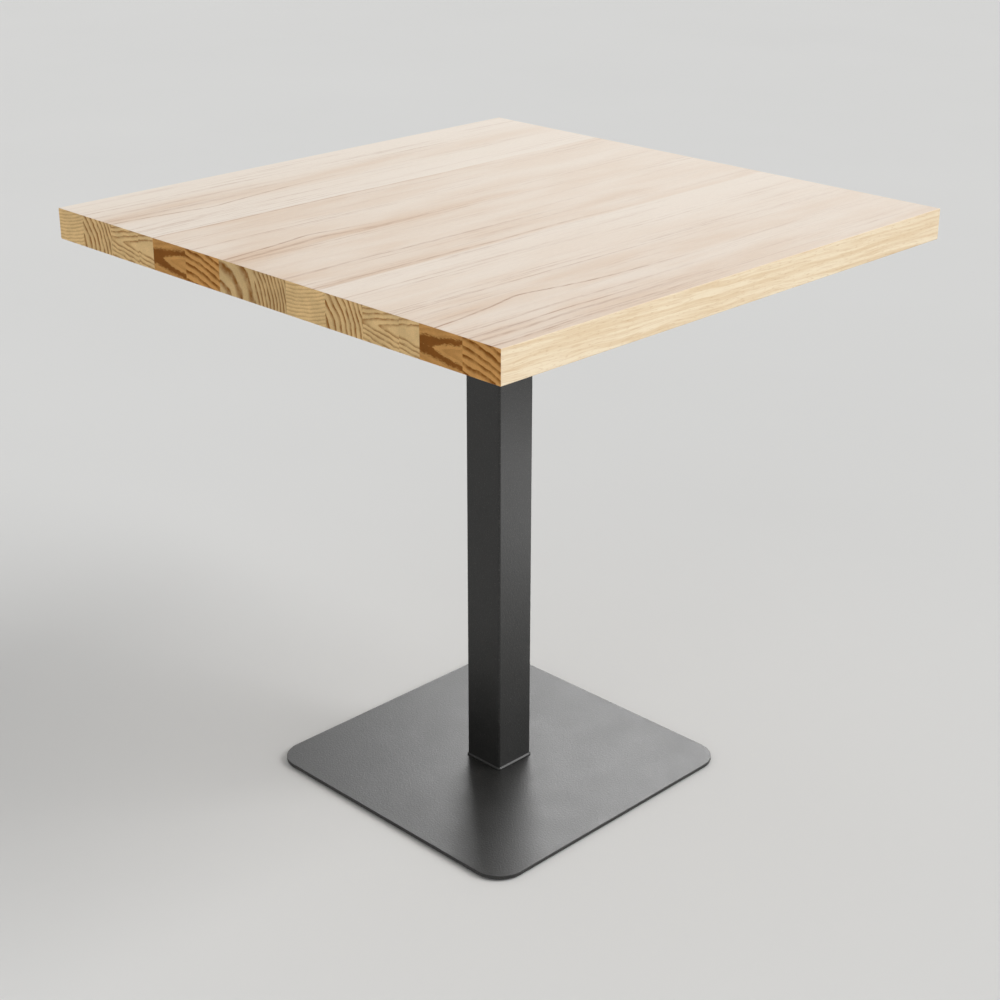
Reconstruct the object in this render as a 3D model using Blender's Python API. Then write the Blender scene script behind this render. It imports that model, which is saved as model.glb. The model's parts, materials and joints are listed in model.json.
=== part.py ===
"""Square bistro table: a stave-built wooden top on a steel pedestal with four levelling glides.

Metres, +Z up. The origin is on the floor, under the middle of the table, and the grain of the
top runs along Y. Pieces that touch are kept GAP apart, so that each stays a solid of its own.
"""
import math

import bmesh
import bpy

MM = 0.001
GAP = 0.3 * MM

# The whole table
TABLE_HEIGHT = 765.5 * MM

# Wooden top: 14 full-length staves, edge-glued, listed from -X to +X
TOP_SIDE = 750 * MM
TOP_THICKNESS = 38 * MM
STAVE_WIDTHS_MM = (51.5, 58, 54, 29, 61, 61.5, 62, 53, 64, 58.5, 54.5, 30, 61, 52)
DARK_STAVES = (5, 6, 13, 14)
ARRIS_RADIUS = 1.0 * MM
ARRIS_SEGMENTS = 2

# Sheet and tube of the pedestal
PLATE_THICKNESS = 5 * MM
PLATE_CHAMFER = 0.5 * MM
BASE_SIDE = 430 * MM
BASE_CORNER_RADIUS = 38 * MM
BASE_CORNER_SEGMENTS = 14
MOUNTING_PLATE_SIDE = 300 * MM
MOUNTING_PLATE_CORNER_RADIUS = 15 * MM
COLUMN_SIDE = 60 * MM
COLUMN_WALL = 2.5 * MM
COLUMN_CORNER_RADIUS = 3 * MM
COLUMN_INNER_RADIUS = 0.8 * MM
COLUMN_CORNER_SEGMENTS = 5
FOOT_PLATE_OVERHANG = 1.5 * MM
FOOT_PLATE_THICKNESS = 2.7 * MM
END_BLOCK_HEIGHT = 15 * MM
SMALL_CORNER_SEGMENTS = 6

# M8 countersunk screws that hold the column between its two plates
M8_RADIUS = 4 * MM
M8_HEAD_RADIUS = 7.6 * MM
M8_HEAD_RIM = 0.5 * MM
M8_TIP_CHAMFER = 0.5 * MM
M8_LENGTH = 18 * MM
M8_SOCKET_INRADIUS = 2.5 * MM
M8_SOCKET_DEPTH = 2.5 * MM
M8_SPACING = 36 * MM
SINK = 0.1 * MM

# Pan-head wood screws that hold the top, each with a washer, in slots that run across the grain
WOOD_SCREW_RADIUS = 2.75 * MM
WOOD_SCREW_LENGTH = 31 * MM
WOOD_SCREW_TIP = 5 * MM
WOOD_HEAD_RADIUS = 5.5 * MM
WOOD_HEAD_HEIGHT = 3.4 * MM
WOOD_SOCKET_INRADIUS = 2 * MM
WOOD_SOCKET_DEPTH = 1.8 * MM
WASHER_RADIUS = 7 * MM
WASHER_THICKNESS = 1.2 * MM
SLOT_LENGTH = 13 * MM
SLOT_WIDTH = 6.5 * MM
WOOD_SCREW_X = (-130 * MM, -45 * MM, 45 * MM, 130 * MM)
WOOD_SCREW_Y = (-130 * MM, 130 * MM)

# Levelling glides: a nylon pad moulded round the flange of an M6 stud
GLIDE_OFFSET = 172 * MM
PAD_RADIUS = 14 * MM
PAD_THICKNESS = 2.2 * MM
PAD_CHAMFER = 0.6 * MM
STUD_RADIUS = 2.9 * MM
STUD_FLANGE_RADIUS = 6 * MM
STUD_FLANGE_THICKNESS = 1.0 * MM
STUD_TOP = 6.0 * MM
STUD_CHAMFER = 0.5 * MM
GLIDE_HOLE_RADIUS = 3.2 * MM
GLIDE_HOLE_DEPTH = 4.0 * MM

SCREW_SEGMENTS = 12
PAD_SEGMENTS = 24
SMOOTH_ANGLE = math.radians(35)
OVERSHOOT = 2 * MM

# Heights that follow from the sizes above
BASE_BOTTOM = PAD_THICKNESS + GAP
BASE_TOP = BASE_BOTTOM + PLATE_THICKNESS
FOOT_PLATE_BOTTOM = BASE_TOP + GAP
FOOT_PLATE_TOP = FOOT_PLATE_BOTTOM + FOOT_PLATE_THICKNESS
COLUMN_BOTTOM = FOOT_PLATE_TOP + GAP
TOP_BOTTOM = TABLE_HEIGHT - TOP_THICKNESS
MOUNTING_PLATE_TOP = TOP_BOTTOM - GAP
MOUNTING_PLATE_BOTTOM = MOUNTING_PLATE_TOP - PLATE_THICKNESS
COLUMN_TOP = MOUNTING_PLATE_BOTTOM - GAP
WASHER_BOTTOM = MOUNTING_PLATE_BOTTOM - GAP - WASHER_THICKNESS
WOOD_SCREW_SEAT = WASHER_BOTTOM - GAP

M8_PLACES = [(x, y) for x in (-M8_SPACING / 2, M8_SPACING / 2) for y in (-M8_SPACING / 2, M8_SPACING / 2)]
WOOD_SCREW_PLACES = [(x, y) for x in WOOD_SCREW_X for y in WOOD_SCREW_Y]
GLIDE_PLACES = [(x, y) for x in (-GLIDE_OFFSET, GLIDE_OFFSET) for y in (-GLIDE_OFFSET, GLIDE_OFFSET)]


def remove_everything():
    for thing in list(bpy.data.objects):
        bpy.data.objects.remove(thing, do_unlink=True)


def material(name, color, roughness, metallic=0.0):
    made = bpy.data.materials.new(name)
    made.use_nodes = True
    shader = made.node_tree.nodes["Principled BSDF"]
    shader.inputs["Base Color"].default_value = (*color, 1)
    shader.inputs["Roughness"].default_value = roughness
    shader.inputs["Metallic"].default_value = metallic
    made.diffuse_color = (*color, 1)
    return made


def mesh_from(bm, name):
    """A smooth-shaded mesh with sharp edges kept, from a bmesh that is then freed."""
    bmesh.ops.recalc_face_normals(bm, faces=bm.faces[:])
    mesh = bpy.data.meshes.new(name)
    bm.to_mesh(mesh)
    bm.free()
    mesh.shade_smooth()
    mesh.set_sharp_from_angle(angle=SMOOTH_ANGLE)
    return mesh


def place(name, mesh, look, location=(0, 0, 0), parent=None):
    piece = bpy.data.objects.new(name, mesh)
    bpy.context.scene.collection.objects.link(piece)
    if not mesh.materials:
        mesh.materials.append(look)
    piece.location = location
    piece.parent = parent
    return piece


def cut(piece, bm):
    """Cuts a piece with the bodies in bm, which stay in the file as a hidden wire guide."""
    cutter = place(piece.name + "_cutter", mesh_from(bm, piece.name + "_cutter"), None)
    cutter.hide_render = True
    cutter.display_type = "WIRE"
    boolean = piece.modifiers.new("holes", "BOOLEAN")
    boolean.operation = "DIFFERENCE"
    boolean.solver = "EXACT"
    boolean.object = cutter


def rounded_square(side, radius, segments):
    """The outline of a square with round corners, anticlockwise."""
    inset = side / 2 - radius
    points = []
    for quarter, (sign_x, sign_y) in enumerate(((1, 1), (-1, 1), (-1, -1), (1, -1))):
        for step in range(segments + 1):
            angle = (quarter + step / segments) * math.pi / 2
            x = sign_x * inset + radius * math.cos(angle)
            y = sign_y * inset + radius * math.sin(angle)
            points.append((x, y))
    return points


def slot(center, length, width, segments):
    """The outline of a slot along X, anticlockwise."""
    points = []
    for sign in (1, -1):
        for step in range(segments + 1):
            angle = step / segments * math.pi - sign * math.pi / 2
            x = center[0] + sign * (length - width) / 2 + width / 2 * math.cos(angle)
            y = center[1] + width / 2 * math.sin(angle)
            points.append((x, y))
    return points


def band(bm, lower, upper):
    """Faces between two rings of vertices; a ring of one vertex is a point on the axis."""
    count = max(len(lower), len(upper))
    for i in range(count):
        j = (i + 1) % count
        corners = lower[i % len(lower)], lower[j % len(lower)], upper[j % len(upper)], upper[i % len(upper)]
        bm.faces.new(list(dict.fromkeys(corners)))


def ring(bm, outline, height):
    return [bm.verts.new((x, y, height)) for x, y in outline]


def prism(bm, outline, z_low, z_high):
    low, high = ring(bm, outline, z_low), ring(bm, outline, z_high)
    bm.faces.new(list(reversed(low)))
    bm.faces.new(high)
    band(bm, low, high)


def turned(bm, profile, center=(0, 0), segments=SCREW_SEGMENTS):
    """A body turned about Z. Its profile runs from the axis at the bottom, out, up and back to
    the axis, as (radius, height) or, where the ring is a hexagon, (inradius, height, 6)."""
    rings = []
    for radius, height, *sides in profile:
        outline = [center]
        if radius > 0:
            outline = [ring_point(center, radius, i / segments * math.tau, *sides) for i in range(segments)]
        rings.append(ring(bm, outline, height))
    for lower, upper in zip(rings, rings[1:]):
        band(bm, lower, upper)


def ring_point(center, radius, angle, sides=0):
    if sides:
        sector = math.tau / sides
        radius /= math.cos(angle % sector - sector / 2)
    return center[0] + radius * math.cos(angle), center[1] + radius * math.sin(angle)


def cylinder(bm, center, radius, z_low, z_high, segments=SCREW_SEGMENTS):
    turned(bm, [(0, z_low), (radius, z_low), (radius, z_high), (0, z_high)], center, segments)


def countersink(bm, center, z_face, z_far, up):
    """A clearance hole for an M8 screw through a plate, with its cone at the face z_face. up is 1
    where that face looks up, and -1 where it looks down."""
    bore = M8_RADIUS + GAP
    mouth = M8_HEAD_RADIUS + GAP
    rim = M8_HEAD_RIM + SINK
    profile = [
        (0, z_far - up * OVERSHOOT),
        (bore, z_far - up * OVERSHOOT),
        (bore, z_face - up * (rim + mouth - bore)),
        (mouth, z_face - up * rim),
        (mouth, z_face + up * OVERSHOOT),
        (0, z_face + up * OVERSHOOT),
    ]
    turned(bm, profile if up > 0 else profile[::-1], center)


# --- Wooden top ---------------------------------------------------------------------------------


def ease_arrises(bm, outer_sides):
    """Rounds each edge whose two faces are both on the outside of the finished top."""

    def is_outside(face):
        faces_x = round(face.normal.x)
        return faces_x == 0 or faces_x in outer_sides

    edges = [edge for edge in bm.edges if all(is_outside(face) for face in edge.link_faces)]
    bmesh.ops.bevel(
        bm, geom=edges, offset=ARRIS_RADIUS, segments=ARRIS_SEGMENTS, profile=0.5, affect="EDGES"
    )


def make_stave(number, x_low, x_high, look):
    first, last = number == 1, number == len(STAVE_WIDTHS_MM)
    x_low += 0 if first else GAP / 2
    x_high -= 0 if last else GAP / 2
    half = TOP_SIDE / 2
    bm = bmesh.new()
    prism(bm, [(x_low, -half), (x_high, -half), (x_high, half), (x_low, half)], TOP_BOTTOM, TABLE_HEIGHT)
    bm.normal_update()
    ease_arrises(bm, [side for side, on in ((-1, first), (1, last)) if on])
    name = f"top_stave_{number:02d}"
    stave = place(name, mesh_from(bm, name), look)

    pilots = [center for center in WOOD_SCREW_PLACES if x_low < center[0] < x_high]
    if pilots:
        holes = bmesh.new()
        for center in pilots:
            hole_radius = WOOD_SCREW_RADIUS + GAP
            hole_top = WOOD_SCREW_SEAT + WOOD_SCREW_LENGTH + GAP
            cylinder(holes, center, hole_radius, TOP_BOTTOM - OVERSHOOT, hole_top)
        cut(stave, holes)


def make_top(light, dark):
    edge = -TOP_SIDE / 2
    for number, width in enumerate(STAVE_WIDTHS_MM, 1):
        make_stave(number, edge, edge + width * MM, dark if number in DARK_STAVES else light)
        edge += width * MM


# --- Steel pedestal -----------------------------------------------------------------------------


def chamfered_plate(name, side, radius, segments, z_low, look):
    bm = bmesh.new()
    prism(bm, rounded_square(side, radius, segments), z_low, z_low + PLATE_THICKNESS)
    bm.normal_update()
    rims = [edge for edge in bm.edges if abs(edge.verts[0].co.z - edge.verts[1].co.z) < GAP]
    bmesh.ops.bevel(bm, geom=rims, offset=PLATE_CHAMFER, segments=1, profile=0.5, affect="EDGES")
    return place(name, mesh_from(bm, name), look)


def make_base_plate(look):
    plate = chamfered_plate(
        "base_plate", BASE_SIDE, BASE_CORNER_RADIUS, BASE_CORNER_SEGMENTS, BASE_BOTTOM, look
    )
    holes = bmesh.new()
    for center in M8_PLACES:
        countersink(holes, center, BASE_BOTTOM, BASE_TOP, up=-1)
    for center in GLIDE_PLACES:
        cylinder(holes, center, GLIDE_HOLE_RADIUS, BASE_BOTTOM - OVERSHOOT, BASE_BOTTOM + GLIDE_HOLE_DEPTH)
    cut(plate, holes)


def make_mounting_plate(look):
    plate = chamfered_plate(
        "mounting_plate",
        MOUNTING_PLATE_SIDE,
        MOUNTING_PLATE_CORNER_RADIUS,
        SMALL_CORNER_SEGMENTS,
        MOUNTING_PLATE_BOTTOM,
        look,
    )
    holes = bmesh.new()
    for center in M8_PLACES:
        countersink(holes, center, MOUNTING_PLATE_TOP, MOUNTING_PLATE_BOTTOM, up=1)
    for center in WOOD_SCREW_PLACES:
        outline = slot(center, SLOT_LENGTH, SLOT_WIDTH, SMALL_CORNER_SEGMENTS)
        prism(holes, outline, MOUNTING_PLATE_BOTTOM - OVERSHOOT, MOUNTING_PLATE_TOP + OVERSHOOT)
    cut(plate, holes)


def make_column_tube(look):
    outer = rounded_square(COLUMN_SIDE, COLUMN_CORNER_RADIUS, COLUMN_CORNER_SEGMENTS)
    inner = rounded_square(COLUMN_SIDE - 2 * COLUMN_WALL, COLUMN_INNER_RADIUS, COLUMN_CORNER_SEGMENTS)
    bm = bmesh.new()
    rings = [
        ring(bm, outer, COLUMN_BOTTOM),
        ring(bm, outer, COLUMN_TOP),
        ring(bm, inner, COLUMN_TOP),
        ring(bm, inner, COLUMN_BOTTOM),
    ]
    for lower, upper in zip(rings, rings[1:] + rings[:1]):
        band(bm, lower, upper)
    place("column_tube", mesh_from(bm, "column_tube"), look)


def make_square_piece(name, side, radius, z_low, height, look):
    """A small square plate or block with four holes for the M8 screws."""
    z_high = z_low + height
    bm = bmesh.new()
    prism(bm, rounded_square(side, radius, SMALL_CORNER_SEGMENTS), z_low, z_high)
    piece = place(name, mesh_from(bm, name), look)
    holes = bmesh.new()
    for center in M8_PLACES:
        cylinder(holes, center, M8_RADIUS + GAP, z_low - OVERSHOOT, z_high + OVERSHOOT)
    cut(piece, holes)


def make_column_ends(painted, bare):
    block_side = COLUMN_SIDE - 2 * COLUMN_WALL - 2 * GAP
    blocks = {"column_top_block": COLUMN_TOP - END_BLOCK_HEIGHT, "column_foot_block": COLUMN_BOTTOM}
    for name, bottom in blocks.items():
        make_square_piece(name, block_side, COLUMN_INNER_RADIUS, bottom, END_BLOCK_HEIGHT, bare)
    foot_side = COLUMN_SIDE + 2 * FOOT_PLATE_OVERHANG
    foot_radius = COLUMN_CORNER_RADIUS + FOOT_PLATE_OVERHANG
    make_square_piece(
        "column_foot_plate", foot_side, foot_radius, FOOT_PLATE_BOTTOM, FOOT_PLATE_THICKNESS, painted
    )


# --- Fasteners ----------------------------------------------------------------------------------


def countersunk_screw_mesh():
    """An M8 screw with its head's face at height 0 and its shank below."""
    bm = bmesh.new()
    turned(
        bm,
        [
            (0, -M8_LENGTH),
            (M8_RADIUS - M8_TIP_CHAMFER, -M8_LENGTH),
            (M8_RADIUS, -M8_LENGTH + M8_TIP_CHAMFER),
            (M8_RADIUS, -M8_HEAD_RIM - (M8_HEAD_RADIUS - M8_RADIUS)),
            (M8_HEAD_RADIUS, -M8_HEAD_RIM),
            (M8_HEAD_RADIUS, 0),
            (M8_SOCKET_INRADIUS, 0, 6),
            (M8_SOCKET_INRADIUS, -M8_SOCKET_DEPTH, 6),
            (0, -M8_SOCKET_DEPTH),
        ],
    )
    return mesh_from(bm, "countersunk_screw")


def make_column_screws(look):
    mesh = countersunk_screw_mesh()
    for number, (x, y) in enumerate(M8_PLACES, 1):
        place(f"column_top_screw_{number}", mesh, look, (x, y, MOUNTING_PLATE_TOP - SINK))
        base_screw = place(f"base_screw_{number}", mesh, look, (x, y, BASE_BOTTOM + SINK))
        base_screw.rotation_euler.x = math.pi


def wood_screw_mesh():
    """A pan-head wood screw with its head below height 0 and its shank above."""
    shoulder = WOOD_HEAD_RADIUS - WOOD_HEAD_HEIGHT / 2
    bm = bmesh.new()
    turned(
        bm,
        [
            (0, WOOD_SOCKET_DEPTH - WOOD_HEAD_HEIGHT),
            (WOOD_SOCKET_INRADIUS, WOOD_SOCKET_DEPTH - WOOD_HEAD_HEIGHT, 6),
            (WOOD_SOCKET_INRADIUS, -WOOD_HEAD_HEIGHT, 6),
            (shoulder, -WOOD_HEAD_HEIGHT),
            (WOOD_HEAD_RADIUS, -WOOD_HEAD_HEIGHT / 2),
            (WOOD_HEAD_RADIUS, 0),
            (WOOD_SCREW_RADIUS, 0),
            (WOOD_SCREW_RADIUS, WOOD_SCREW_LENGTH - WOOD_SCREW_TIP),
            (0, WOOD_SCREW_LENGTH),
        ],
    )
    return mesh_from(bm, "wood_screw")


def washer_mesh():
    outer = [ring_point((0, 0), WASHER_RADIUS, i / PAD_SEGMENTS * math.tau) for i in range(PAD_SEGMENTS)]
    hole = WOOD_SCREW_RADIUS + GAP
    inner = [ring_point((0, 0), hole, i / PAD_SEGMENTS * math.tau) for i in range(PAD_SEGMENTS)]
    bm = bmesh.new()
    rings = [
        ring(bm, outer, 0),
        ring(bm, outer, WASHER_THICKNESS),
        ring(bm, inner, WASHER_THICKNESS),
        ring(bm, inner, 0),
    ]
    for lower, upper in zip(rings, rings[1:] + rings[:1]):
        band(bm, lower, upper)
    return mesh_from(bm, "washer")


def make_top_screws(look):
    screw, washer = wood_screw_mesh(), washer_mesh()
    for number, (x, y) in enumerate(WOOD_SCREW_PLACES, 1):
        place(f"tabletop_screw_{number}", screw, look, (x, y, WOOD_SCREW_SEAT))
        place(f"tabletop_washer_{number}", washer, look, (x, y, WASHER_BOTTOM))


# --- Levelling glides ---------------------------------------------------------------------------


def pad_mesh():
    """A round pad with a pocket in its upper face for the stud's flange."""
    pocket = STUD_FLANGE_RADIUS + GAP
    floor = PAD_THICKNESS - STUD_FLANGE_THICKNESS - GAP
    profile = [
        (0, 0),
        (PAD_RADIUS - PAD_CHAMFER, 0),
        (PAD_RADIUS, PAD_CHAMFER),
        (PAD_RADIUS, PAD_THICKNESS),
        (pocket, PAD_THICKNESS),
        (pocket, floor),
        (0, floor),
    ]
    bm = bmesh.new()
    turned(bm, profile, segments=PAD_SEGMENTS)
    return mesh_from(bm, "glide_pad")


def stud_mesh():
    flange_bottom = PAD_THICKNESS - STUD_FLANGE_THICKNESS
    profile = [
        (0, flange_bottom),
        (STUD_FLANGE_RADIUS, flange_bottom),
        (STUD_FLANGE_RADIUS, PAD_THICKNESS),
        (STUD_RADIUS, PAD_THICKNESS),
        (STUD_RADIUS, STUD_TOP - STUD_CHAMFER),
        (STUD_RADIUS - STUD_CHAMFER, STUD_TOP),
        (0, STUD_TOP),
    ]
    bm = bmesh.new()
    turned(bm, profile)
    return mesh_from(bm, "glide_stud")


def make_glides(nylon, steel):
    """Each glide hangs on an empty, on the axis along which it travels."""
    pad, stud = pad_mesh(), stud_mesh()
    for number, (x, y) in enumerate(GLIDE_PLACES, 1):
        axis = bpy.data.objects.new(f"glide_{number}_axis", None)
        bpy.context.scene.collection.objects.link(axis)
        axis.location = (x, y, 0)
        place(f"glide_{number}_pad", pad, nylon, parent=axis)
        place(f"glide_{number}_stud", stud, steel, parent=axis)


def build():
    remove_everything()
    light_wood = material("light_wood", (0.78, 0.62, 0.42), 0.5)
    dark_wood = material("dark_wood", (0.62, 0.42, 0.24), 0.5)
    powder_coat = material("powder_coat", (0.06, 0.06, 0.06), 0.45)
    bare_steel = material("bare_steel", (0.45, 0.45, 0.46), 0.4, 1.0)
    zinc = material("zinc", (0.62, 0.62, 0.64), 0.3, 1.0)
    nylon = material("nylon", (0.03, 0.03, 0.03), 0.5)

    make_top(light_wood, dark_wood)
    make_base_plate(powder_coat)
    make_mounting_plate(powder_coat)
    make_column_tube(powder_coat)
    make_column_ends(powder_coat, bare_steel)
    make_column_screws(zinc)
    make_top_screws(zinc)
    make_glides(nylon, zinc)


build()
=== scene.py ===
"""Studio scene of the square bistro table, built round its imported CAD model.

Metres, +Z up. The grain of the top runs along Y, so its end grain shows on the two faces across Y.
Patterns in the materials are worked out in millimetres.
"""
import json
import math
import re

import bmesh
import bpy
from mathutils import Euler, Matrix, Vector


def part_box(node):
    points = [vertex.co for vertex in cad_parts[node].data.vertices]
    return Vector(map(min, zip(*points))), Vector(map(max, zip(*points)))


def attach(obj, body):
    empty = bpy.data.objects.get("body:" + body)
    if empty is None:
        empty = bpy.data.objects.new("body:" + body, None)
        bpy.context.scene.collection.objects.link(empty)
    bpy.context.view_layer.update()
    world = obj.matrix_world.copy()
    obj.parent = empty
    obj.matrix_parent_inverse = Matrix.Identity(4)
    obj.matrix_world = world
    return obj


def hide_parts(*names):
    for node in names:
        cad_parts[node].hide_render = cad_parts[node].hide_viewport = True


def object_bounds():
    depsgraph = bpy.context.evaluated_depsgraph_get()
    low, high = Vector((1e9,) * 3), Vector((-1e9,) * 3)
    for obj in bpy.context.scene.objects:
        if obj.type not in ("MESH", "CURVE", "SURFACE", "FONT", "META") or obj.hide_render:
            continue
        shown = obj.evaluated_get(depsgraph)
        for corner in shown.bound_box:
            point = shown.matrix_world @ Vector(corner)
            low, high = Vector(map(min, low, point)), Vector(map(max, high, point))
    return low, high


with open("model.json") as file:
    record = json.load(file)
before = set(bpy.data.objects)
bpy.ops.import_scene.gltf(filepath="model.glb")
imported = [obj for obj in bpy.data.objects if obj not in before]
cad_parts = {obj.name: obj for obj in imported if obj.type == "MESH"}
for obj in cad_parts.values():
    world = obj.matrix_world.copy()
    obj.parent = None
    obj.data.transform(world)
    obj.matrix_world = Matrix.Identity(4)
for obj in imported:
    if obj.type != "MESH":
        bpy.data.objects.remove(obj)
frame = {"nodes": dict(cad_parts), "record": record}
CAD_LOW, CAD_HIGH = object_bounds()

MM = 0.001

# Camera, lights and floor
CAMERA_PLACE = (1.5557, -1.5629, 1.3283)
CAMERA_AZIMUTH = math.radians(44.844)
CAMERA_ELEVATION = math.radians(23.189)
CAMERA_ROLL = math.radians(0.08)
CAMERA_LENS = 67.34
FLOOR_SIZE = 60.0
LIGHT_TARGET = (0, 0, 0.3)
WORLD_BRIGHT_SIDE = (0.7, 0.7, 0.0)
WORLD_STRENGTHS = (0.4, 0.6)
KEY_PLACE = (3.0, 2.3, 3.1)
KEY_STRENGTH = 1.8
KEY_ANGLE = math.radians(40)
FILL_PLACE = (1.3, -2.7, 1.4)
FILL_STRENGTH = 0.36
FILL_ANGLE = math.radians(60)
# Panels that only glossy surfaces show: place, width and height, power
GLOSS_PANELS = (
    ("panel_behind", (-1.4, 3.12, 2.4), (3.4, 0.9), 140),
    ("panel_right", (0.45, 0.45, 0.15), (0.5, 0.24), 0.8),
)

# Wooden top
STAVES = sorted(name for name in frame["nodes"] if name.startswith("top_stave_"))
TOP_SIDE = CAD_HIGH.x - CAD_LOW.x
TOP_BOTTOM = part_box(STAVES[0])[0].z
TOP_MIDDLE = (TOP_BOTTOM + CAD_HIGH.z) / 2
ARRIS_RADIUS = 0.9 * MM
ARRIS_SEGMENTS = 3
# How much of a face's normal points along an axis that the face looks along
FACING = 0.9

# Steel pedestal
PLATE_EDGE_RADIUS = 0.6 * MM
PLATE_EDGE_SEGMENTS = 3
BASE_CORNER_RADIUS = 38 * MM
MOUNTING_PLATE_CORNER_RADIUS = 15 * MM
COLUMN_WALL = 2.5 * MM
COLUMN_CORNER_RADIUS = 3 * MM
COLUMN_INNER_RADIUS = 0.8 * MM
COLLAR_RIM = 1.2 * MM
CORNER_SEGMENTS = 24
SMALL_CORNER_SEGMENTS = 8
TURNED_SEGMENTS = 48

# Fasteners and glides: the numbers of those at four corners, and of the screws in the top
CORNERS = range(1, 5)
TOP_SCREWS = range(1, 9)
HEXAGON = 6

# Holes for the fasteners
M8_BORE_RADIUS = 4.3 * MM
M8_MOUTH_RADIUS = 7.9 * MM
M8_RIM = 0.6 * MM
SLOT_LENGTH = 13 * MM
SLOT_WIDTH = 6.5 * MM
GLIDE_HOLE_RADIUS = 3.2 * MM
GLIDE_HOLE_DEPTH = 4 * MM
OVERSHOOT = 2 * MM
SMOOTH_ANGLE = math.radians(32)

# M8 countersunk screws
M8_RADIUS = 4 * MM
M8_HEAD_RIM = 0.5 * MM
M8_SOCKET_INRADIUS = 2.5 * MM
M8_SOCKET_DEPTH = 2.5 * MM
M8_PITCH = 1.25 * MM
M8_THREAD_DEPTH = 0.6 * MM
SOCKET_CONE = 1.0 * MM
SCREW_EDGE = 0.2 * MM

# Pan-head wood screws and their washers
WOOD_SCREW_RADIUS = 2.75 * MM
WOOD_HEAD_HEIGHT = 3.4 * MM
WOOD_SOCKET_INRADIUS = 2 * MM
WOOD_SOCKET_DEPTH = 1.8 * MM
WOOD_PLAIN_LENGTH = 8 * MM
WOOD_TIP = 5 * MM
WOOD_PITCH = 2.4 * MM
WOOD_THREAD_DEPTH = 0.8 * MM
PAN_SHOULDER = 2.2 * MM
PAN_CROWN_SHARE = 0.5
PAN_STEPS = 6
WASHER_HOLE_RADIUS = 3.05 * MM

# Levelling glides
PAD_EDGE = 0.8 * MM
PAD_EDGE_STEPS = 4
PAD_POCKET_RADIUS = 6.3 * MM
PAD_POCKET_DEPTH = 1.3 * MM
PAD_DIMPLE_RADIUS = 2.5 * MM
PAD_DIMPLE_DEPTH = 0.2 * MM
STUD_RADIUS = 2.9 * MM
STUD_PITCH = 1.0 * MM
STUD_THREAD_DEPTH = 0.5 * MM
FLANGE_THICKNESS = 1.0 * MM

# How the growth rings of a stave lie on its end. Places are millimetres from the middle of the
# stave's end. "round" rings circle a pith at that place; "arrow" rings are nested V shapes that
# point to -X from that place. reach is the ring width, or where power isn't 1 the distance of the
# first ring from the pith, and power above 1 narrows the rings outwards.
FIGURES = {
    "flat": dict(kind="round", place=(-34, 175), reach=4.1, power=1),
    "rift": dict(kind="round", place=(-60, -25), reach=25.0, power=1.66),
    "arrow": dict(kind="arrow", place=(-18, 2.5), reach=5.4),
    "arrow_end": dict(kind="arrow", place=(-58, 4), reach=5.4),
    "arch": dict(kind="round", place=(-31, -24), reach=20.5, power=1),
    "fan": dict(kind="round", place=(-88, -26), reach=24.0, power=1.67),
    "dark_tongue": dict(kind="tongue", place=(-12, -1), reach=6.2),
    "dark_slope": dict(kind="round", place=(-58, -205), reach=8.4, power=1),
}
# How the rings look: late is how much of a ring is dark latewood, line how dark that gets, warp how
# far the rings wander in millimetres, and tone a grey factor on the whole end.
FIGURE_LOOKS = {
    "flat": dict(late=0.34, line=0.42, warp=1.8, tone=1.0),
    "rift": dict(late=0.36, line=1.0, warp=3.6, tone=0.95),
    "arrow": dict(late=0.34, line=0.8, warp=2.8, tone=0.98),
    "arrow_end": dict(late=0.34, line=0.8, warp=2.8, tone=0.98),
    "arch": dict(late=0.36, line=1.0, warp=5.0, tone=0.83),
    "fan": dict(late=0.42, line=0.9, warp=1.8, tone=0.83),
    "dark_tongue": dict(late=0.5, line=0.25, warp=2.6, tone=0.9),
    "dark_slope": dict(late=0.38, line=1.0, warp=3.6, tone=0.97),
}
STAVE_FIGURES = (
    "flat", "rift", "arrow", "arrow_end", "dark_tongue", "dark_slope", "arch",
    "fan", "flat", "rift", "arrow", "arrow_end", "dark_tongue", "dark_slope",
)
# The arms of an arrow, and on a "tongue" end the light tongue and the dark band round it
ARROW_TIP = 2.6
ARROW_SLOPE = 0.18
ARROW_HEART = -0.7
TONGUE_SPREAD = 1.8
TONGUE_SETBACK = 1.6
BAND_DARKNESS = 0.85
BAND_SLOPE = 0.12
BAND_THICKNESS = 12.5
BAND_FRAY = 9.0


def srgb(red, green, blue):
    """A colour given as 0 to 255 display values, as the linear values that shaders use."""

    def linear(value):
        share = value / 255
        return share / 12.92 if share <= 0.04045 else ((share + 0.055) / 1.055) ** 2.4

    return linear(red), linear(green), linear(blue), 1.0


# End-grain colours: light earlywood, dark latewood
LIGHT_END = (srgb(240, 205, 148), srgb(152, 94, 32))
DARK_END = (srgb(222, 166, 98), srgb(128, 68, 2))

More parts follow.
